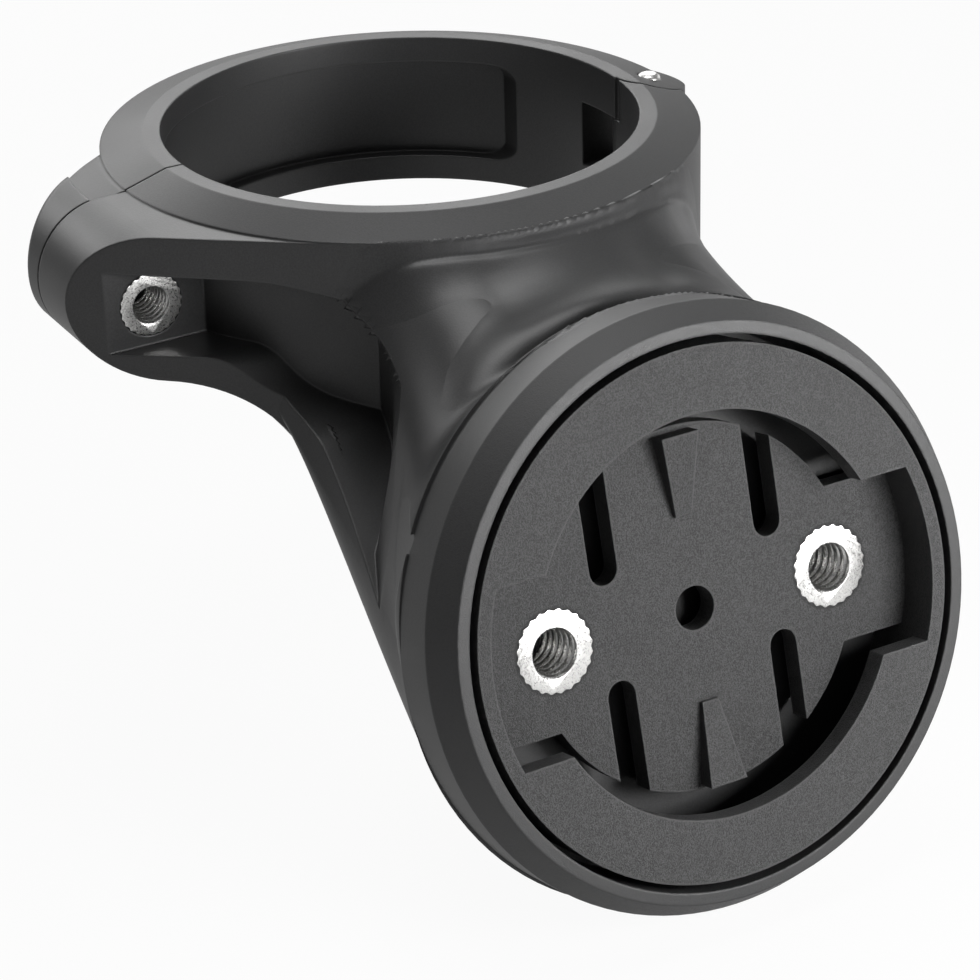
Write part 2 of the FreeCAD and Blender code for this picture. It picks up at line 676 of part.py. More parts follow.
turned(bracket, "Cup", "YZ_Plane", [
    ("0", "0"),
    ("cup_depth", "0"),
    ("cup_depth", "cup_radius"),
    ("0", "cup_radius"),
], kind="Groove", about="H_Axis", **HEAD_TURN)
for name, radius, depth in (
    ("BossPocket", "boss_pocket_radius", "boss_pocket_depth"),
    ("ShankHole", "shank_hole_radius", "screw_seat + hole_overrun"),
):
    sketch = new_sketch(bracket, name + "Face", "XY_Plane", **HEAD_FACE)
    circle(sketch, "-insert_half", "0", radius)
    circle(sketch, "insert_half", "0", radius)
    feature(bracket, "Pocket", name, sketch, Length=depth)
channel_sketch = new_sketch(bracket, "ChannelFace", "XZ_Plane", axis=(1, 0, 0), angle="-head_tilt",
                            shift=("0", "-seat_drop", "seat_forward"))
circle(channel_sketch, "-insert_half", "0", "channel_radius")
circle(channel_sketch, "insert_half", "0", "channel_radius")
feature(bracket, "Pocket", "ScrewChannel", channel_sketch, Type="ThroughAll")
insert_sketch = new_sketch(bracket, "InsertSide", "XZ_Plane", shift=("0", "0", "0"))
circle(insert_sketch, "-screw_reach", "-screw_drop", "clamp_insert_radius")
feature(bracket, "Pocket", "InsertHole", insert_sketch, Length="ring_outer", Reversed=True)
doc.recompute()

# Rear jaw: rear half of the ring, its lug with the screw's counterbore, and the two hinge ears.
jaw = new_body("rear_jaw")
lug_sketch = new_sketch(jaw, "JawLugSide", "XZ_Plane", shift=("0", "0", "-half_gap"))
lug_outline(lug_sketch, False)
feature(jaw, "Pad", "JawLugBlock", lug_sketch, Length="rear_near_y", Reversed=True)
face_sketch = new_sketch(jaw, "JawLugFacePlan", "XY_Plane", shift=("0", "0", "half_height"))
outline(face_sketch, [
    ("-rear_near_x", "rear_near_y"),
    ("-rear_far_x", "rear_far_y"),
    ("-rear_far_x", "ring_outer"),
    ("-rear_near_x", "ring_outer"),
])
feature(jaw, "Pocket", "JawLugFace", face_sketch, Type="ThroughAll")
doc.recompute()
face_start = number("rear_near_x") + number("jaw_lug_edge")
jaw_edges = edges_where(jaw.Tip, lambda p, e: on_rear_face(p) and p.x < -face_start)
fillet(jaw, "JawLugRound", jaw.Tip, jaw_edges, "jaw_lug_edge")
turned(jaw, "JawRing", "XZ_Plane", [
    ("bore_radius", "-half_height"),
    ("ring_outer", "-half_height"),
    ("ring_outer", "ring_shoulder"),
    ("land_radius", "half_height"),
    ("bore_radius", "half_height"),
])
bore_sketch = new_sketch(jaw, "JawBorePlan", "XY_Plane", shift=("0", "0", "half_height"))
circle(bore_sketch, "0", "0", "bore_radius")
feature(jaw, "Pocket", "JawBore", bore_sketch, Type="ThroughAll")
half_sketch = new_sketch(jaw, "FrontHalfPlan", "XY_Plane", shift=("0", "0", "half_height"))
outline(half_sketch, [
    ("-lug_tip - split_step", "half_gap"),
    ("land_radius - split_step", "half_gap"),
    ("land_radius - split_step", "-hinge_offset + split_gap"),
    ("lug_tip", "-hinge_offset + split_gap"),
    ("lug_tip", "-lug_tip"),
    ("-lug_tip - split_step", "-lug_tip"),
])
feature(jaw, "Pocket", "FrontHalf", half_sketch, Type="ThroughAll")
ear_sketch = new_sketch(jaw, "EarPlan", "XY_Plane", shift=("0", "0", "-half_height"))
circle(ear_sketch, "hinge_x", "-hinge_offset", "knuckle_radius")
feature(jaw, "Pad", "Ears", ear_sketch, Length="ring_height")
turned(jaw, "EarBevel", "XZ_Plane", [
    ("land_radius", "half_height"),
    ("blank_radius", "half_height"),
    ("blank_radius", "blank_shoulder"),
], kind="Groove")
slot_sketch = new_sketch(jaw, "KnuckleSlotPlan", "XY_Plane", shift=("0", "0", "-ear_level"))
outline(slot_sketch, [
    ("half_recess", "-blank_radius"),
    ("blank_radius", "-blank_radius"),
    ("blank_radius", "slot_reach"),
    ("half_recess", "slot_reach"),
])
feature(jaw, "Pocket", "KnuckleSlot", slot_sketch, Length="ear_level + ear_level", Reversed=True)
pin_sketch = new_sketch(jaw, "JawPinPlan", "XY_Plane", shift=("0", "0", "half_height"))
circle(pin_sketch, "hinge_x", "-hinge_offset", "pin_radius")
feature(jaw, "Pocket", "JawPinHole", pin_sketch, Type="ThroughAll")
doc.recompute()

recess = new_body("recess_tool")
rib_sketch = new_sketch(recess, "RecessSide", "XZ_Plane", shift=("0", "0", "-recess_start"))
outline(rib_sketch, [
    ("-half_recess", "-half_recess_height"),
    ("half_recess", "-half_recess_height"),
    ("half_recess", "half_recess_height"),
    ("-half_recess", "half_recess_height"),
])
feature(recess, "Pad", "RecessBlock", rib_sketch, Length="recess_radius", Reversed=True)
doc.recompute()
corner_x, corner_z = number("half_recess"), number("half_recess_height")
corners = edges_where(recess.Tip, lambda p, e: abs(abs(p.x) - corner_x) < 0.05
                      and abs(abs(p.z) - corner_z) < 0.05)
fillet(recess, "RecessCorners", recess.Tip, corners, "recess_corner")
outer_sketch = new_sketch(recess, "RecessRim", "XY_Plane", shift=("0", "0", "half_height"))
outline(outer_sketch, [
    ("-lug_tip", "-lug_tip"),
    ("lug_tip", "-lug_tip"),
    ("lug_tip", "lug_tip"),
    ("-lug_tip", "lug_tip"),
])
circle(outer_sketch, "0", "0", "recess_radius")
feature(recess, "Pocket", "RecessOuter", outer_sketch, Type="ThroughAll")
doc.recompute()
rib_cut = jaw.newObject("PartDesign::Boolean", "ShimRecess")
rib_cut.setObjects([recess])
rib_cut.Type = "Cut"
for name, radius, base, depth in (
    ("JawShankHole", "clamp_hole_radius", "0", "ring_outer"),
    ("Counterbore", "counterbore_radius", "-cap_seat", "ring_outer"),
):
    sketch = new_sketch(jaw, name + "Side", "XZ_Plane", shift=("0", "0", base))
    circle(sketch, "-screw_reach", "-screw_drop", radius)
    feature(jaw, "Pocket", name, sketch, Length=depth)
doc.recompute()

# Hinge pin.
pin = new_body("hinge_pin")
sketch = new_sketch(pin, "PinRound", "XY_Plane", shift=("0", "0", "-half_height + half_gap"))
circle(sketch, "hinge_x", "-hinge_offset", "pin_radius")
feature(pin, "Pad", "PinLength", sketch, Length="half_height + half_height - bevel_drop")

# Threaded clamp insert in the bracket's lug.
insert = new_body("clamp_insert")
sketch = new_sketch(insert, "InsertRound", "XZ_Plane", shift=("0", "0", "clamp_insert_gap"))
circle(sketch, "-screw_reach", "-screw_drop", "clamp_insert_radius")
circle(sketch, "-screw_reach", "-screw_drop", "clamp_thread_radius")
feature(insert, "Pad", "InsertLength", sketch, Length="clamp_insert_length")


def screw(name, shank, length, cap, cap_length, points, **placing):
    """A cap screw: its seat is the sketch plane and its shank runs along the plane's normal."""
    body = new_body(name)
    sketch = new_sketch(body, name + "_shank", "XZ_Plane", **placing)
    circle(sketch, points[0], points[1], shank)
    feature(body, "Pad", name + "_shank_pad", sketch, Length=length)
    sketch = new_sketch(body, name + "_cap", "XZ_Plane", **placing)
    circle(sketch, points[0], points[1], cap)
    feature(body, "Pad", name + "_cap_pad", sketch, Length=cap_length, Reversed=True)
    return body


def hexagon(sketch, across, up):
    """A hexagon with two upright sides around a point given as size texts."""
    outline(sketch, [
        (across + " + hex_half", up + " - hex_quarter"),
        (across + " + hex_half", up + " + hex_quarter"),
        (across, up + " + hex_corner"),
        (across + " - hex_half", up + " + hex_quarter"),
        (across + " - hex_half", up + " - hex_quarter"),
        (across, up + " - hex_corner"),
    ])


clamp_screw = screw("clamp_screw", "clamp_shank_radius", "clamp_screw_length", "cap_radius",
                    "cap_height", ("-screw_reach", "-screw_drop"), shift=("0", "0", "-cap_seat"))
hex_sketch = new_sketch(clamp_screw, "ClampHex", "XZ_Plane", shift=("0", "0", "-cap_top"))
hexagon(hex_sketch, "-screw_reach", "-screw_drop")
feature(clamp_screw, "Pocket", "ClampHexPocket", hex_sketch, Length="hex_depth", Reversed=True)

# Base inserts and base screws, one pair on each side of the head's axis.
BACK_TURN = {"axis": (1, 0, 0), "angle": "-head_tilt"}
for side, sign in (("left", "-"), ("right", "")):
    across = sign + "insert_half"
    body = new_body("base_insert_" + side)
    sketch = new_sketch(body, side + "_insert", "XZ_Plane",
                        shift=("0", "-boss_drop", "boss_forward"), **BACK_TURN)
    circle(sketch, across, "0", "insert_radius")
    circle(sketch, across, "0", "thread_radius")
    feature(body, "Pad", side + "_insert_pad", sketch, Length="base_insert_length")
    body = screw("base_screw_" + side, "shank_radius", "base_screw_length", "button_radius",
                 "button_height", (across, "0"), shift=("0", "-seat_drop", "seat_forward"), **BACK_TURN)
    sketch = new_sketch(body, side + "_hex", "XZ_Plane",
                        shift=("0", "-button_drop", "button_forward"), **BACK_TURN)
    hexagon(sketch, across, "0")
    feature(body, "Pocket", side + "_hex_pocket", sketch, Length="button_hex_depth",
            Reversed=True)
doc.recompute()

# Bayonet base: lips, side openings, undercut, floor with two sprung tongues, insert bosses.
base = new_body("bayonet_base")
turned(base, "BaseDisc", "YZ_Plane", [
    ("0", "0"),
    ("0", "base_radius"),
    ("cup_depth", "base_radius"),
    ("cup_depth", "0"),
], about="H_Axis", **HEAD_TURN)
turned(base, "Undercut", "YZ_Plane", [
    ("lip_thickness", "0"),
    ("lip_thickness", "tab_radius"),
    ("floor_level", "tab_radius"),
    ("floor_level", "0"),
], kind="Groove", about="H_Axis", **HEAD_TURN)
turned(base, "Relief", "YZ_Plane", [
    ("floor_back", "0"),
    ("floor_back", "tab_radius"),
    ("cup_depth", "tab_radius"),
    ("cup_depth", "0"),
], kind="Groove", about="H_Axis", **HEAD_TURN)
sketch = new_sketch(base, "MouthFace", "XY_Plane", **HEAD_FACE)
circle(sketch, "0", "0", "lip_radius")
feature(base, "Pocket", "Mouth", sketch, Length="floor_level")
doc.recompute()
for name, tool_name, kind in (("TabOpenings", "tab_tool", "Cut"), ("CoreOuts", "core_tool", "Cut")):
    cutter = new_body(tool_name)
    if name == "TabOpenings":
        sketch = new_sketch(cutter, "TabFace", "XY_Plane", **HEAD_FACE)
        circle(sketch, "0", "0", "tab_radius")
        feature(cutter, "Pad", "TabDisc", sketch, Length="floor_level", Reversed=True)
        sketch = new_sketch(cutter, "TabSides", "XY_Plane", **HEAD_FACE)
        for low, high in (("half_tab", "head_radius"), ("-head_radius", "-half_tab")):
            outline(sketch, [
                ("-head_radius", low),
                ("head_radius", low),
                ("head_radius", high),
                ("-head_radius", high),
            ])
        feature(cutter, "Pocket", "TabTrim", sketch, Length="cup_depth")
    else:
        sketch = new_sketch(cutter, "CoreFace", "XY_Plane", **HEAD_FACE)
        circle(sketch, "0", "0", "tab_radius")
        circle(sketch, "0", "0", "floor_radius")
        feature(cutter, "Pad", "CoreRing", sketch, Length="cup_depth", Reversed=True)
        sketch = new_sketch(cutter, "CoreFloor", "XY_Plane", **HEAD_FACE)
        circle(sketch, "0", "0", "head_radius")
        feature(cutter, "Pocket", "CoreTrim", sketch, Length="lip_thickness")
        sketch = new_sketch(cutter, "CoreBand", "XY_Plane", **HEAD_FACE)
        outline(sketch, [
            ("-head_radius", "-half_band"),
            ("head_radius", "-half_band"),
            ("head_radius", "half_band"),
            ("-head_radius", "half_band"),
        ])
        feature(cutter, "Pocket", "CoreBandTrim", sketch, Length="cup_depth")
    doc.recompute()
    cut = base.newObject("PartDesign::Boolean", name)
    cut.setObjects([cutter])
    cut.Type = kind
doc.recompute()
sketch = new_sketch(base, "SlotFace", "XY_Plane", axis=(1, 0, 0), angle="90 - head_tilt",
                    shift=("0", "-floor_forward", "-floor_drop"))
for near, far in (("slot_inner", "slot_outer"), ("-slot_outer", "-slot_inner")):
    for low, high in (("slot_round_centre", "tongue_end"), ("-tongue_end", "-slot_round_centre")):
        outline(sketch, [(near, low), (far, low), (far, high), (near, high)])
circle(sketch, "0", "0", "centre_hole_radius")
feature(base, "Pocket", "TongueSlots", sketch, Length="cup_depth")
sketch = new_sketch(base, "SlotEndFace", "XY_Plane", axis=(1, 0, 0), angle="90 - head_tilt",
                    shift=("0", "-floor_forward", "-floor_drop"))
for across in ("slot_middle", "-slot_middle"):
    for along in ("slot_round_centre", "-slot_round_centre"):
        circle(sketch, across, along, "slot_round")
feature(base, "Pocket", "TongueSlotEnds", sketch, Length="cup_depth")
sketch = new_sketch(base, "RampFace", "XY_Plane", axis=(1, 0, 0), angle="90 - head_tilt",
                    shift=("0", "-floor_forward", "-floor_drop"))
for sign in ("", "-"):
    outline(sketch, [
        ("-ramp_tip_half", sign + "ramp_start"),
        ("ramp_tip_half", sign + "ramp_start"),
        ("ramp_end_half", sign + "ramp_end"),
        ("-ramp_end_half", sign + "ramp_end"),
    ])
feature(base, "Pad", "RampBlocks", sketch, Length="ramp_height")
sketch = new_sketch(base, "RampSide", "YZ_Plane", **HEAD_TURN)
for outer, inner, before in (
    ("ramp_end", "ramp_start", "ramp_start - slot_round"),
    ("-ramp_end", "-ramp_start", "-ramp_start + slot_round"),
):
    outline(sketch, [
        ("floor_level - ramp_height - hole_overrun", outer),
        ("floor_level - ramp_height", outer),
        ("floor_level - ramp_low", inner),
        ("floor_level - ramp_low", before),
        ("floor_level - ramp_height - hole_overrun", before),
    ])
feature(base, "Pocket", "RampSlope", sketch, Length="slot_inner", Midplane=True)
sketch = new_sketch(base, "BossFace", "XZ_Plane", axis=(1, 0, 0), angle="-head_tilt",
                    shift=("0", "-boss_drop", "boss_forward"))
circle(sketch, "-insert_half", "0", "boss_radius")
circle(sketch, "insert_half", "0", "boss_radius")
feature(base, "Pad", "Bosses", sketch, Length="base_insert_length")
sketch = new_sketch(base, "InsertFace", "XZ_Plane", axis=(1, 0, 0), angle="-head_tilt",
                    shift=("0", "-boss_drop", "boss_forward"))
circle(sketch, "-insert_half", "0", "insert_radius")
circle(sketch, "insert_half", "0", "insert_radius")
feature(base, "Pocket", "InsertHoles", sketch, Length="cup_depth + cup_depth", Reversed=True)
doc.recompute()

for name in (
    "bracket", "rear_jaw", "hinge_pin", "clamp_insert", "clamp_screw", "bayonet_base",
    "base_insert_left", "base_insert_right", "base_screw_left", "base_screw_right",
):
    node = doc.getObject(name)
    shape = node.Shape
    if shape.isNull() or not shape.isValid() or len(shape.Solids) != 1:
        raise RuntimeError("bad shape: " + name)
    box = shape.BoundBox
    print(name, round(shape.Volume, 1), round(box.XLength, 2), round(box.YLength, 2), round(box.ZLength, 2))
    shape.exportStep("parts/" + name + ".step")
for item in doc.Objects:
    if "Invalid" in item.State or "Error" in item.State:
        raise RuntimeError("bad feature: " + item.Name)
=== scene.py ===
import math

import bmesh
import bpy
import numpy as np
from mathutils import Matrix, Vector
from mathutils.bvhtree import BVHTree


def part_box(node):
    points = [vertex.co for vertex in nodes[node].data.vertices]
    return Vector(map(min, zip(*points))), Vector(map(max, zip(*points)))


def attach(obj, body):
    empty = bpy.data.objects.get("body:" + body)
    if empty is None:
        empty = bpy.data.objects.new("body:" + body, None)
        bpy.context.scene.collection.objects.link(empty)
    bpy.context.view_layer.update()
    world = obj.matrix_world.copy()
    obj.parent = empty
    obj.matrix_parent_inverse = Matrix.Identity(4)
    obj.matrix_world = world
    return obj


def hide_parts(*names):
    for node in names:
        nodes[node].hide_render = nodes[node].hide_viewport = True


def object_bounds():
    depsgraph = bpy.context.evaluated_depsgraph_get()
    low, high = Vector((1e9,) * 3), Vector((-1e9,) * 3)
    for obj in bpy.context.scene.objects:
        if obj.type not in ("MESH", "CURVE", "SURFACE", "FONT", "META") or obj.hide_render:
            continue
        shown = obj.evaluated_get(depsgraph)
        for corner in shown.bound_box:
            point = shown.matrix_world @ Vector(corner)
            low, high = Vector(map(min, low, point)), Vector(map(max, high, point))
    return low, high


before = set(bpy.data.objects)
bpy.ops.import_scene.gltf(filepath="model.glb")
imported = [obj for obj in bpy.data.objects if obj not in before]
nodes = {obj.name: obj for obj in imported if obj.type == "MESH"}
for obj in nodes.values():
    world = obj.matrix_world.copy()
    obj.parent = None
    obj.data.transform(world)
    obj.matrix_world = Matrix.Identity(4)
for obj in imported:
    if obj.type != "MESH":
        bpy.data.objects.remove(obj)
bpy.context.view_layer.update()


# ------------------------------------------------------------------- bracket
# The front moulding: half of the ring, its lug, the neck and the round head. It is moulded in
# one from glass-filled nylon: a satin skin all over, and fine spark grain on the head's rim.
HEAD_TILT = math.radians(14.6)
HEAD_FACE = Vector((0.0, -0.04014, -0.01511))
HEAD_OUT = Vector((0.0, -math.cos(HEAD_TILT), math.sin(HEAD_TILT)))
SATIN_DARK = (0.015, 0.015, 0.0155)
SATIN_LIGHT = (0.024, 0.024, 0.0245)
SATIN_TONE_SIZE = 0.00011
SATIN_PATCH = 0.014
SATIN_ROUGH = (0.38, 0.45)
SATIN_RELIEF = 0.00002
SATIN_EDGE = 0.00022
SATIN_HIGHLIGHT_SHADE_REACH = 0.00016
RIM_DEPTH = 0.0021
RIM_LINE = 0.0002
GRAIN_SIZE = 0.00011
GRAIN_WAVE = 3.1
POLISH = 0.08
EDGE_SAMPLES = 4
ROUND_SAMPLES = 6


class Wire:
    """A shader socket with the maths that the finishes need, written as expressions."""

    def __init__(self, tree, socket):
        self.tree = tree
        self.socket = socket

    def node(self, kind, values, out=0, **settings):
        """Adds a node: its settings first, then the values or links of its sockets."""
        made = self.tree.nodes.new(kind)
        for key, value in settings.items():
            setattr(made, key, value)
        for index, value in values.items():
            if isinstance(value, Wire):
                self.tree.links.new(value.socket, made.inputs[index])
            elif value is not None:
                made.inputs[index].default_value = value
        return Wire(self.tree, made.outputs[out])

    def maths(self, operation, other=None, third=None):
        return self.node("ShaderNodeMath", {0: self, 1: other, 2: third}, operation=operation)

    def __add__(self, other):
        return self.maths("ADD", other)

    def __sub__(self, other):
        return self.maths("SUBTRACT", other)

    def __rsub__(self, other):
        return self.maths("MULTIPLY_ADD", -1.0, other)

    def __mul__(self, other):
        return self.maths("MULTIPLY", other)

    def dot(self, vector):
        """How far a point lies along a way."""
        values = {0: self, 1: tuple(vector)}
        return self.node("ShaderNodeVectorMath", values, out=1, operation="DOT_PRODUCT")

    def spot(self, way):
        """The point that lies this far along a way."""
        values = {0: tuple(way), 3: self}
        return self.node("ShaderNodeVectorMath", values, operation="SCALE")

    def minus(self, vector):
        """The point as seen from a place."""
        values = {0: self, 1: tuple(vector)}
        return self.node("ShaderNodeVectorMath", values, operation="SUBTRACT")

    def step(self, low, high, to_low=0.0, to_high=1.0):
        """A smooth step between two limits, from one value to another."""
        values = {0: self, 1: low, 2: high, 3: to_low, 4: to_high}
        return self.node("ShaderNodeMapRange", values, interpolation_type="SMOOTHSTEP")

    def noise(self, size, detail=2.0, rough=0.5):
        values = {"Vector": self, "Scale": 1.0 / size, "Detail": detail, "Roughness": rough}
        return self.node("ShaderNodeTexNoise", values)

    def blend(self, other, factor):
        return self.node("ShaderNodeMix", {0: factor, 2: self, 3: other}, data_type="FLOAT")

    def tint(self, dark, light):
        values = {0: self, 6: (*dark, 1.0), 7: (*light, 1.0)}
        return self.node("ShaderNodeMix", values, out=2, data_type="RGBA")

    def feed(self, shader, name):
        self.tree.links.new(self.socket, shader.inputs[name])


def finish(name):
    """A new material, its shader and the point on the piece that it colours."""
    made = bpy.data.materials.new(name)
    made.use_nodes = True
    tree = made.node_tree
    shader = next(node for node in tree.nodes if node.type == "BSDF_PRINCIPLED")
    return made, shader, Wire(tree, tree.nodes.new("ShaderNodeTexCoord").outputs["Object"])


def relief(shader, height, depth, strength, edge):
    """A height in 0..1 as relief of that depth, on edges that are rounded by a small radius."""
    rounded = height.node("ShaderNodeBevel", {"Radius": edge}, samples=ROUND_SAMPLES)
    values = {"Strength": strength, "Distance": depth, "Height": height, "Normal": rounded}
    height.node("ShaderNodeBump", values).feed(shader, "Normal")


def edges(place, reach):
    """How near a point is to an outer edge, and to an inner corner, both in 0..1."""
    kind, ways = "ShaderNodeAmbientOcclusion", {"Distance": reach}
    local = {"only_local": True, "samples": EDGE_SAMPLES}
    inside = place.node(kind, ways, out=1, inside=True, **local)
    outside = place.node(kind, ways, out=1, **local)
    return inside.step(0.55, 0.92, 1.0, 0.0), outside.step(0.50, 0.95, 1.0, 0.0)


def spark_grain(place):
    """The eroded grain of the mould: packed pits with some longer waves in them."""
    pits = place.noise(GRAIN_SIZE, 3.0, 0.75)
    waves = place.noise(GRAIN_SIZE * GRAIN_WAVE, 2.0, 0.6)
    return pits.step(0.30, 0.70) * 0.8 + waves.step(0.25, 0.75) * 0.2


def satin(name, grained_rim):
    """Satin black nylon, with the rim of the head grained if that is asked."""
    made, shader, place = finish(name)
    tone = place.noise(SATIN_TONE_SIZE, 2.0, 0.6).step(0.3, 0.7)
    rough = place.noise(SATIN_PATCH).step(0.3, 0.7, *SATIN_ROUGH)
    height = tone * 0.3
    if grained_rim:
        behind = place.minus(HEAD_FACE).dot(-HEAD_OUT)
        on_rim = behind.step(RIM_DEPTH - RIM_LINE, RIM_DEPTH, 1.0, 0.0)
        grain = spark_grain(place)
        tone = tone.blend(grain * 1.6 - 0.2, on_rim)
        height = height.blend(grain, on_rim)
        rough = rough.blend(grain.step(0.2, 0.8, 0.44, 0.56), on_rim)
    # Painted highlight: outer edges are lightened in colour and polished to a lower roughness.
    # Painted shade: inner corners are darkened in colour.
    edge_polish_and_highlight, hollow = edges(place, SATIN_HIGHLIGHT_SHADE_REACH)
    tone = tone + edge_polish_and_highlight * 2.2 - hollow * 0.8
    tone.tint(SATIN_DARK, SATIN_LIGHT).feed(shader, "Base Color")
    (rough - edge_polish_and_highlight * POLISH).feed(shader, "Roughness")
    relief(shader, height, SATIN_RELIEF, 0.4, SATIN_EDGE)
    return made


def dress(node, made):
    """Puts a finish on a CAD node."""
    nodes[node].data.materials.clear()
    nodes[node].data.materials.append(made)


# The ring flows into the neck: a skin over both, seen from the front and above, is filled in
# wherever a ball of the blend's radius can't reach, as a mould maker's fillet is.
BLEND_RADIUS = 0.0085
BLEND_VIEW = Vector((0.22, -0.52, 0.82)).normalized()
BLEND_FROM, BLEND_TO = Vector((-0.0129, -0.0288, -0.0140)), Vector((0.0225, -0.0020, 0.0046))
BLEND_ACROSS, BLEND_ALONG = (-0.042, 0.034), (-0.026, 0.034)
BLEND_FADE = 0.0025
RING_RADIUS = 0.0205
RIM_FADE = 0.0008
SKIN_CELL = 0.0002
VIEW_FROM = 0.1
NO_SKIN = -0.05
DEEPEST_FILL, LEAST_FILL, SURE_FILL = 0.0030, 0.000015, 0.00005
SKIN_SINK = 0.00006
SKIN_WALL = 0.0005
SKIN_TEAR = 0.0012
CORNERS = ((0, 0), (1, 0), (1, 1), (0, 1))
BESIDE = ((0, -1), (1, 0), (0, 1), (-1, 0))


def closed(skin):
    """The skin that a ball rolled over the outside leaves: every hollow is rounded."""
    reach = int(BLEND_RADIUS / SKIN_CELL)
    for side in (1.0, -1.0):
        rolled = np.full(skin.shape, -1.0)
        padded = np.pad(skin * side, reach, constant_values=-1.0)
        for i in range(-reach, reach + 1):
            for j in range(-reach, reach + 1):
                rest = BLEND_RADIUS ** 2 - (i * i + j * j) * SKIN_CELL ** 2
                if rest >= 0:
                    part = padded[reach + i:reach + i + skin.shape[0],
                                  reach + j:reach + j + skin.shape[1]]
                    np.maximum(rolled, part + math.sqrt(rest), out=rolled)
        skin = rolled * side
    return skin


def spread(field, times):
    """Softens a field: each cell takes a share of its neighbours, so many times over."""
    for _ in range(times):
        for axis in (0, 1):
            field = (np.roll(field, 1, axis) + 2 * field + np.roll(field, -1, axis)) / 4
    return field


def looked_at(source, span, rise, across, along):
    """How near the source comes to the view, in cells across and along it."""
    tree = BVHTree.FromObject(source, bpy.context.evaluated_depsgraph_get())
    skin = np.full((len(span), len(rise)), NO_SKIN)
    for i, u in enumerate(span):
        for j, v in enumerate(rise):
            start = across * u + along * v + BLEND_VIEW * VIEW_FROM
            spot = tree.ray_cast(start, -BLEND_VIEW)[0]
            if spot:
                skin[i, j] = spot.dot(BLEND_VIEW)
    return skin


def filling(skin, spots):
    """How much is filled in each cell, and the cells where a filling may lie."""
    fill = closed(skin) - skin
    radius = np.hypot(spots[:, :, 0], spots[:, :, 1])
    solid = (skin > NO_SKIN + 0.001) & (fill < DEEPEST_FILL) & (radius > RING_RADIUS)
    inside = np.minimum(spots - np.array(BLEND_FROM), np.array(BLEND_TO) - spots)
    weight = np.clip(inside / BLEND_FADE, 0.0, 1.0)
    rim = np.clip((BLEND_TO.z - spots[:, :, 2]) / RIM_FADE, 0.0, 1.0)
    weight[:, :, 2] = np.where(spots[:, :, 2] > 0, rim, weight[:, :, 2])
    weight = weight.min(axis=2)
    fill = spread(np.where(solid, fill, 0.0) * spread(weight, 4), 5)
    near = fill > LEAST_FILL
    for _ in range(2):
        near = near | np.roll(near, 1, 0) | np.roll(near, -1, 0)
        near = near | np.roll(near, 1, 1) | np.roll(near, -1, 1)
    return fill, near & solid


def whole_cells(number, outer):
    """The cells with four corners and no tear, of which no two touch only at a corner."""
    cells = {(i, j) for i, j in number if all((i + a, j + b) in number for a, b in CORNERS)
             and np.ptp(outer[i:i + 2, j:j + 2]) < SKIN_TEAR}
    for i, j in sorted(cells):
        for a, b in ((1, 1), (1, -1)):
            if (i + a, j + b) in cells and not {(i + a, j), (i, j + b)} & cells:
                cells.discard((i, j))
    return cells


def neck_blend(source):
    """The filled skin between ring and neck as a thin closed shell."""
    across = Vector((0.0, 0.0, 1.0)).cross(BLEND_VIEW).normalized()
    along = BLEND_VIEW.cross(across)
    span = np.arange(*BLEND_ACROSS, SKIN_CELL)
    rise = np.arange(*BLEND_ALONG, SKIN_CELL)
    skin = looked_at(source, span, rise, across, along)
    grid = np.array(across) * span[:, None, None] + np.array(along) * rise[None, :, None]
    fill, kept = filling(skin, grid + skin[:, :, None] * np.array(BLEND_VIEW))
    outer = skin + fill - SKIN_SINK * (1 - np.clip(fill / SURE_FILL, 0.0, 1.0))
    places, faces, number = [], [], {}
    for i, j in zip(*np.nonzero(kept)):
        number[i, j] = len(places)
        for height in (outer[i, j], skin[i, j] - SKIN_WALL):
            places.append(across * span[i] + along * rise[j] + BLEND_VIEW * height)
    cells = whole_cells(number, outer)
    for i, j in sorted(cells):
        corners = [number[i + a, j + b] for a, b in CORNERS]
        faces.append(corners)
        faces.append([corner + 1 for corner in reversed(corners)])
        for side, (a, b) in enumerate(BESIDE):
            if (i + a, j + b) not in cells:
                first, second = corners[side], corners[(side + 1) % 4]
                faces.append([first, first + 1, second + 1, second])
    mesh = bpy.data.meshes.new("neck_blend")
    mesh.from_pydata(places, [], faces)
    return mesh


SATIN_RIM = satin("satin_rim", True)
dress("bracket", SATIN_RIM)
bpy.ops.object.select_all(action="DESELECT")
skin = bpy.data.objects.new("neck_blend", neck_blend(nodes["bracket"]))
bpy.context.collection.objects.link(skin)
bpy.context.view_layer.objects.active = skin
skin.select_set(True)
bpy.ops.object.mode_set(mode="EDIT")
bpy.ops.mesh.select_all(action="SELECT")
bpy.ops.mesh.delete_loose()
bpy.ops.mesh.select_all(action="SELECT")
bpy.ops.mesh.normals_make_consistent(inside=False)
bpy.ops.object.mode_set(mode="OBJECT")
bpy.ops.object.shade_smooth_by_angle(angle=math.radians(50))
skin.data.materials.append(SATIN_RIM)
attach(skin, "front")

# ------------------------------------------------------------------ rear jaw
# The rear half of the ring with its own lug, moulded from the same satin nylon. It swings on
# the hinge pin and is drawn to the bracket by the clamp screw.
dress("rear_jaw", satin("satin_jaw", False))

# -------------------------------------------------------------- bayonet base
# The disc in the head's cup that takes the quarter-turn foot: lips, side openings, floor and
# sprung tongues, moulded in one with spark grain all over, and screwed on from behind.
BASE_DARK = (0.009, 0.009, 0.0093)
BASE_LIGHT = (0.050, 0.050, 0.0505)
BASE_RELIEF = 0.00004
BASE_EDGE = 0.00014
BASE_HIGHLIGHT_SHADE_REACH = 0.00018
INSERT_OUT = 0.0103
INSERT_DEPTH = 0.003
INSERT_GAP_SHADE = (0.00278, 0.00292)


def insert_place(side):
    """The middle of a base insert's front face, on the left (-1) or the right (1)."""
    return HEAD_FACE - HEAD_OUT * INSERT_DEPTH + Vector((side * INSERT_OUT, 0.0, 0.0))


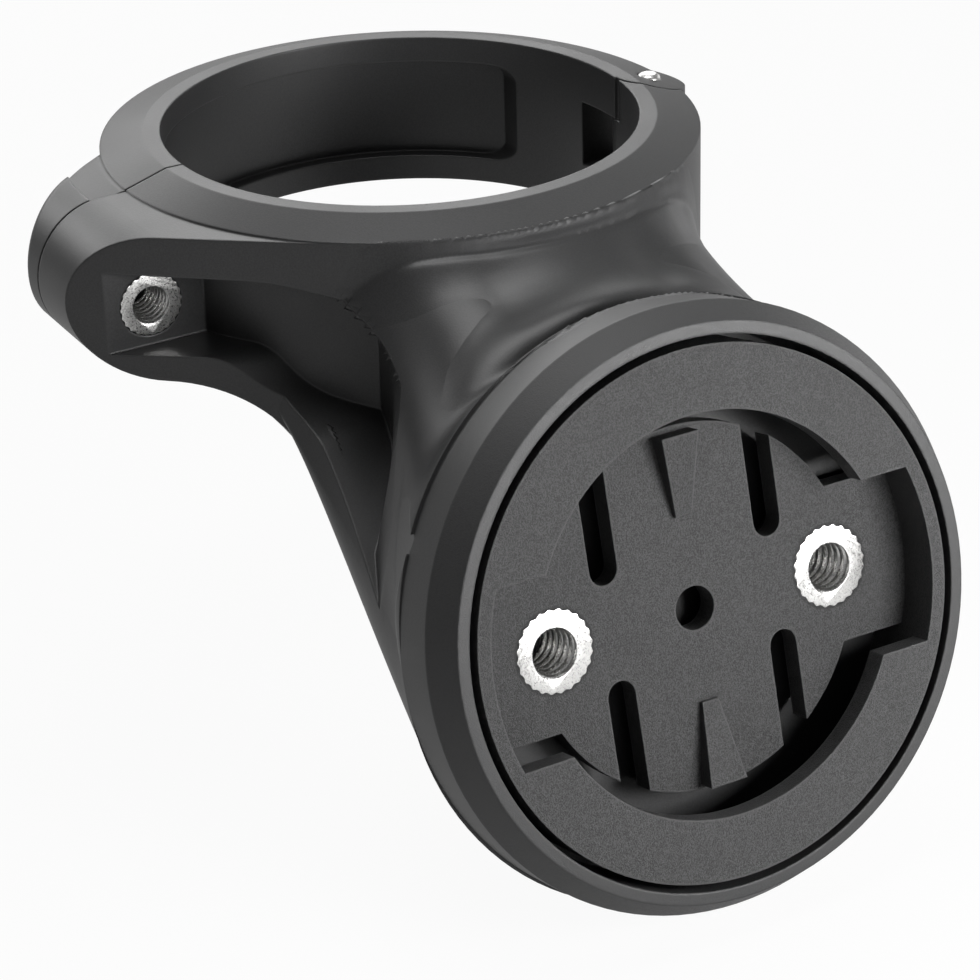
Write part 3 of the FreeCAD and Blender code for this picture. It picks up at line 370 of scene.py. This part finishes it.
made, shader, place = finish("grained_base")
grain = spark_grain(place)
# Painted highlight: outer edges are lightened in colour and polished to a lower roughness.
# Painted shade: inner corners are darkened in colour.
edge_polish_and_highlight, hollow = edges(place, BASE_HIGHLIGHT_SHADE_REACH)
tone = grain.step(0.25, 0.8) + edge_polish_and_highlight * 1.2 - hollow * 0.5
# Painted shade: a fine dark line round each insert darkens the base's colour, as shade in the
# gap where the plastic drew back from the knurl.
for side in (-1, 1):
    from_axis = place.minus(insert_place(side))
    height = from_axis.dot(HEAD_OUT)
    flat = from_axis.node("ShaderNodeVectorMath", {0: from_axis, 1: height.spot(HEAD_OUT)},
                          operation="SUBTRACT")
    radius = flat.node("ShaderNodeVectorMath", {0: flat}, out=1, operation="LENGTH")
    tone = tone * radius.step(*INSERT_GAP_SHADE)
tone.tint(BASE_DARK, BASE_LIGHT).feed(shader, "Base Color")
(grain.step(0.2, 0.8, 0.42, 0.56) - edge_polish_and_highlight * POLISH).feed(shader, "Roughness")
relief(shader, grain, BASE_RELIEF, 0.9, BASE_EDGE)
dress("bayonet_base", made)

# ------------------------------------------------------------------ hinge pin
# A plain steel pin through both ears and the middle knuckle. It is pressed in from above, and
# its domed end shows just under the top of the ear.
PIN_RADIUS = 0.00085
PIN_FROM, PIN_TO = -0.005475, 0.00535
PIN_DOME = 0.0004
STEEL_TONE = (0.58, 0.575, 0.565)
STEEL_GRAIN = 0.00013
STEEL_RELIEF = 0.000005
STEEL_EDGE = 0.00004
HAIR = 1e-6


def steel(name, light, rough):
    """Machined metal with a fine grain, darker in its pores."""
    made, shader, place = finish(name)
    grain = place.noise(STEEL_GRAIN, 3.0, 0.75)
    dark = tuple(channel * 0.84 for channel in light)
    grain.step(0.35, 0.6).tint(dark, light).feed(shader, "Base Color")
    grain.step(0.3, 0.7, rough - 0.06, rough + 0.08).feed(shader, "Roughness")
    shader.inputs["Metallic"].default_value = 1.0
    relief(shader, grain, STEEL_RELIEF, 0.06, STEEL_EDGE)
    return made


BRIGHT_STEEL = steel("bright_steel", STEEL_TONE, 0.30)


def pick(mesh, chosen):
    """Selects in edit mode the edges that the test chooses."""
    bpy.ops.mesh.select_all(action="DESELECT")
    shape = bmesh.from_edit_mesh(mesh)
    for edge in shape.edges:
        if chosen(*(vertex.co for vertex in edge.verts)):
            edge.select_set(True)
    bmesh.update_edit_mesh(mesh)


def piece(made, name, node, body, smooth):
    """Names a finished steel piece, shades it, and lets it stand for its CAD node."""
    bpy.ops.object.select_all(action="DESELECT")
    bpy.context.view_layer.objects.active = made
    made.select_set(True)
    bpy.ops.object.transform_apply(location=True, rotation=True, scale=True)
    bpy.ops.object.shade_smooth_by_angle(angle=math.radians(smooth))
    made.name = name
    made.data.materials.clear()
    made.data.materials.append(BRIGHT_STEEL)
    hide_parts(node)
    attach(made, body)


low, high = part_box("hinge_pin")
middle = (low + high) / 2
bpy.ops.object.select_all(action="DESELECT")
bpy.ops.mesh.primitive_cylinder_add(
    vertices=48, radius=PIN_RADIUS, depth=PIN_TO - PIN_FROM,
    location=(middle.x, middle.y, (PIN_FROM + PIN_TO) / 2))
pin = bpy.context.object
bpy.ops.object.mode_set(mode="EDIT")
end = (PIN_TO - PIN_FROM) / 2
pick(pin.data, lambda a, b: abs(abs(a.z) - end) < HAIR and abs(a.z - b.z) < HAIR)
bpy.ops.mesh.bevel(offset=PIN_DOME, segments=6, profile=0.5, clamp_overlap=True)
bpy.ops.object.mode_set(mode="OBJECT")
piece(pin, "pin", "hinge_pin", "jaw", 40)

# ---------------------------------------------------------- threaded inserts
# Turned metal inserts, knurled outside and tapped inside, pressed hot into the mouldings: one
# M3 in the bracket's lug for the clamp screw, and two M4 in the base for the radar's screws.
LOBES = 24
PROUD = 0.00005
INSERT_CHAMFER = 0.00006
TAP_STEPS = 40
LUG_INSERT = Vector((-0.0222, -0.0062, -0.0010))
LUG_OUT = Vector((0.0, -1.0, 0.0))
M3 = {"radius": 0.00210, "lobe": 0.00013, "length": 0.0060,
      "crest": 0.00124, "groove": 0.00149, "pitch": 0.0005}
M4 = {"radius": 0.00258, "lobe": 0.00017, "length": 0.0063,
      "crest": 0.00152, "groove": 0.00186, "pitch": 0.0007}


def pick_points(mesh, chosen):
    """Selects in edit mode the points that the test chooses."""
    bpy.ops.mesh.select_all(action="DESELECT")
    shape = bmesh.from_edit_mesh(mesh)
    for vertex in shape.verts:
        vertex.select_set(chosen(vertex.co))
    shape.select_flush(True)
    bmesh.update_edit_mesh(mesh)


def insert(name, node, front, facing, radius, lobe, length, crest, groove, pitch):
    """A knurled blank, tapped by cutting it with the shape of the tap."""
    bpy.ops.object.select_all(action="DESELECT")
    bpy.ops.mesh.primitive_cylinder_add(
        vertices=2 * LOBES, radius=radius, depth=length, location=(0.0, 0.0, -length / 2))
    blank = bpy.context.object
    bpy.ops.object.transform_apply(location=True)
    bpy.ops.object.mode_set(mode="EDIT")
    # Every second edge of the side stands out as a lobe, and all of them are rounded.
    half = math.pi / LOBES
    pick(blank.data, lambda a, b: math.hypot(a.x - b.x, a.y - b.y) < HAIR
         and round(math.atan2(a.y, a.x) / half) % 2 == 0)
    bpy.ops.transform.resize(value=(1 + lobe / radius, 1 + lobe / radius, 1.0),
                             center_override=(0.0, 0.0, 0.0))
    pick(blank.data, lambda a, b: math.hypot(a.x - b.x, a.y - b.y) < HAIR)
    bpy.ops.mesh.bevel(offset=0.3 * radius * half, segments=3, profile=0.5)
    pick(blank.data, lambda a, b: a.z > -HAIR and b.z > -HAIR)
    bpy.ops.mesh.bevel(offset=INSERT_CHAMFER, segments=2, profile=0.6)
    bpy.ops.object.mode_set(mode="OBJECT")

    # The tap: the rounded outline of one turn, screwed through the blank, its ends closed.
    bpy.ops.object.select_all(action="DESELECT")
    bpy.ops.mesh.primitive_plane_add(size=pitch, rotation=(math.pi / 2, 0.0, 0.0))
    tap = bpy.context.object
    bpy.ops.object.transform_apply(location=True, rotation=True)
    bpy.ops.object.mode_set(mode="EDIT")
    pick(tap.data, lambda a, b: a.x < 0 and b.x < 0)
    bpy.ops.mesh.delete(type="VERT")
    bpy.ops.mesh.select_all(action="SELECT")
    bpy.ops.transform.translate(value=(groove - pitch / 2, 0.0, 0.0))
    bpy.ops.mesh.subdivide(number_cuts=7)
    # The middle of the outline is drawn in by steps, from the groove to the crest.
    for reach, share in ((0.40, 0.58), (0.30, 0.24), (0.20, 0.12), (0.07, 0.06)):
        pick_points(tap.data, lambda point: abs(point.z) < reach * pitch)
        bpy.ops.transform.translate(value=((crest - groove) * share, 0.0, 0.0))
    bpy.ops.object.mode_set(mode="OBJECT")
    screw = tap.modifiers.new("Turns", "SCREW")
    screw.axis = "Z"
    screw.angle = 2 * math.pi
    screw.screw_offset = pitch
    screw.iterations = int(length / pitch) + 3
    screw.steps = screw.render_steps = TAP_STEPS
    screw.use_merge_vertices = True
    screw.merge_threshold = HAIR
    bpy.ops.object.modifier_apply(modifier=screw.name)
    bpy.ops.object.mode_set(mode="EDIT")
    bpy.ops.mesh.select_all(action="SELECT")
    bpy.ops.mesh.remove_doubles(threshold=2 * HAIR)
    bpy.ops.mesh.select_all(action="SELECT")
    bpy.ops.mesh.fill_holes(sides=0)
    bpy.ops.mesh.select_all(action="SELECT")
    bpy.ops.mesh.normals_make_consistent(inside=False)
    bpy.ops.transform.translate(value=(0.0, 0.0, -length - 1.2 * pitch))
    bpy.ops.object.mode_set(mode="OBJECT")

    bpy.context.view_layer.objects.active = blank
    cut = blank.modifiers.new("Tapping", "BOOLEAN")
    cut.operation = "DIFFERENCE"
    cut.solver = "EXACT"
    cut.object = tap
    bpy.ops.object.modifier_apply(modifier=cut.name)
    bpy.data.objects.remove(tap)
    turn = facing.to_track_quat("Z", "Y").to_matrix().to_4x4()
    blank.matrix_world = Matrix.Translation(front + facing * PROUD) @ turn
    piece(blank, name, node, "front", 38)


insert("insert_lug", "clamp_insert", LUG_INSERT, LUG_OUT, **M3)
insert("insert_left", "base_insert_left", insert_place(-1), HEAD_OUT, **M4)
insert("insert_right", "base_insert_right", insert_place(1), HEAD_OUT, **M4)

# -------------------------------------------------------------------- screws
# Blackened steel cap screws: one behind the rear lug, and two in the back of the head that
# hold the base. They are plain machined screws with a hexagon socket.
BLACK_STEEL_TONE = (0.075, 0.075, 0.08)
black_steel = steel("black_steel", BLACK_STEEL_TONE, 0.36)
for name in ("clamp_screw", "base_screw_left", "base_screw_right"):
    dress(name, black_steel)

# --------------------------------------------------------------------- floor
# A plain pale floor that the mount stands on. The camera sees it near white, with the mount's
# shadow, and it lights the mount from below as a grey one would.
WHITE = (1.0, 1.0, 1.0, 1.0)
FLOOR_TONE = (0.55, 0.55, 0.55, 1.0)
FLOOR_SIZE = 6.0
FLOOR_GAP = 0.0002
FLOOR_GLOW = 0.94
MIRRORED = 0.30


def sees_white(tree, glow):
    """The share of white that a ray meets: the camera's own, and less of it in reflections."""
    rays = tree.nodes.new("ShaderNodeLightPath").outputs
    camera = Wire(tree, rays["Is Camera Ray"])
    glossy = Wire(tree, rays["Is Glossy Ray"])
    through = Wire(tree, rays["Is Transmission Ray"])
    return camera * glow + (glossy + through) * MIRRORED


bpy.ops.object.select_all(action="DESELECT")
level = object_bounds()[0][2] - FLOOR_GAP
bpy.ops.mesh.primitive_plane_add(size=FLOOR_SIZE, location=(0.0, 0.0, level))
floor = bpy.context.object
floor.name = "floor"
made, shader, place = finish("floor_pale")
shader.inputs["Base Color"].default_value = FLOOR_TONE
shader.inputs["Roughness"].default_value = 0.9
shader.inputs["Specular IOR Level"].default_value = 0.0
seen = sees_white(made.node_tree, FLOOR_GLOW)
glow = place.node("ShaderNodeEmission", {"Color": WHITE, "Strength": 1.0})
plain = Wire(made.node_tree, shader.outputs[0])
mix = place.node("ShaderNodeMixShader", {0: seen, 1: plain, 2: glow})
output = next(node for node in made.node_tree.nodes if node.type == "OUTPUT_MATERIAL")
made.node_tree.links.new(mix.socket, output.inputs["Surface"])
floor.data.materials.append(made)

# --------------------------------------------------------- world and lights
# A world that is white for the camera, paler in reflections and dim as a light, and plain
# softboxes round the mount, which the camera doesn't see.
WORLD_TONE = (0.5, 0.5, 0.5, 1.0)
WORLD_LIGHT = 0.12
AIM = Vector((0.0, -0.02, -0.01))
world = bpy.data.worlds.new("studio")
bpy.context.scene.world = world
world.use_nodes = True
dim = next(node for node in world.node_tree.nodes if node.type == "BACKGROUND")
dim.inputs["Color"].default_value = WORLD_TONE
dim.inputs["Strength"].default_value = WORLD_LIGHT
dim = Wire(world.node_tree, dim.outputs[0])
white = dim.node("ShaderNodeBackground", {"Color": WHITE, "Strength": 1.0})
seen = sees_white(world.node_tree, 1.0)
mix = dim.node("ShaderNodeMixShader", {0: seen, 1: dim, 2: white})
output = next(node for node in world.node_tree.nodes if node.type == "OUTPUT_WORLD")
world.node_tree.links.new(mix.socket, output.inputs["Surface"])


def softbox(name, place, width, height, power):
    """A rectangular area light at a place, aimed at the mount."""
    bpy.ops.object.select_all(action="DESELECT")
    bpy.ops.object.light_add(type="AREA", location=place)
    lamp = bpy.context.object
    lamp.name = name
    lamp.data.shape = "RECTANGLE"
    lamp.data.size = width
    lamp.data.size_y = height
    lamp.data.energy = power
    lamp.visible_camera = False
    lamp.rotation_euler = (AIM - Vector(place)).to_track_quat("-Z", "Y").to_euler()


softbox("face_light", (0.050, -0.132, 0.022), 0.07, 0.04, 0.22)
softbox("front_right", (0.26, -0.42, 0.10), 0.30, 0.20, 0.12)
softbox("top", (0.00, 0.05, 0.50), 0.30, 0.25, 1.25)
softbox("back_wall", (0.10, 0.55, 0.26), 0.70, 0.26, 1.75)
softbox("back_left", (-0.25, 0.45, 0.30), 0.30, 0.25, 0.6)
softbox("right_wall", (0.50, 0.10, 0.10), 0.35, 0.25, 0.35)

# -------------------------------------------------------------------- camera
# A long lens at the photograph's angle, from the left of the head and above it.
LENS = 116.83
SENSOR = 36.0
CLIP = (0.01, 20.0)
CAMERA_PLACE = Vector((-0.096374, -0.184008, 0.081926))
CAMERA_RIGHT = Vector((0.866377, -0.498679, -0.026634))
CAMERA_ABOVE = Vector((0.246734, 0.381074, 0.891013))
CAMERA_BACK = Vector((-0.434180, -0.778525, 0.453195))
bpy.ops.object.select_all(action="DESELECT")
bpy.ops.object.camera_add(location=(0.0, 0.0, 0.0))
camera = bpy.context.object
camera.name = "photo_camera"
camera.data.lens = LENS
camera.data.sensor_width = SENSOR
camera.data.clip_start, camera.data.clip_end = CLIP
turn = Matrix((CAMERA_RIGHT, CAMERA_ABOVE, CAMERA_BACK)).transposed().to_4x4()
camera.matrix_world = Matrix.Translation(CAMERA_PLACE) @ turn
bpy.context.scene.camera = camera
bpy.context.scene.view_settings.view_transform = "Standard"
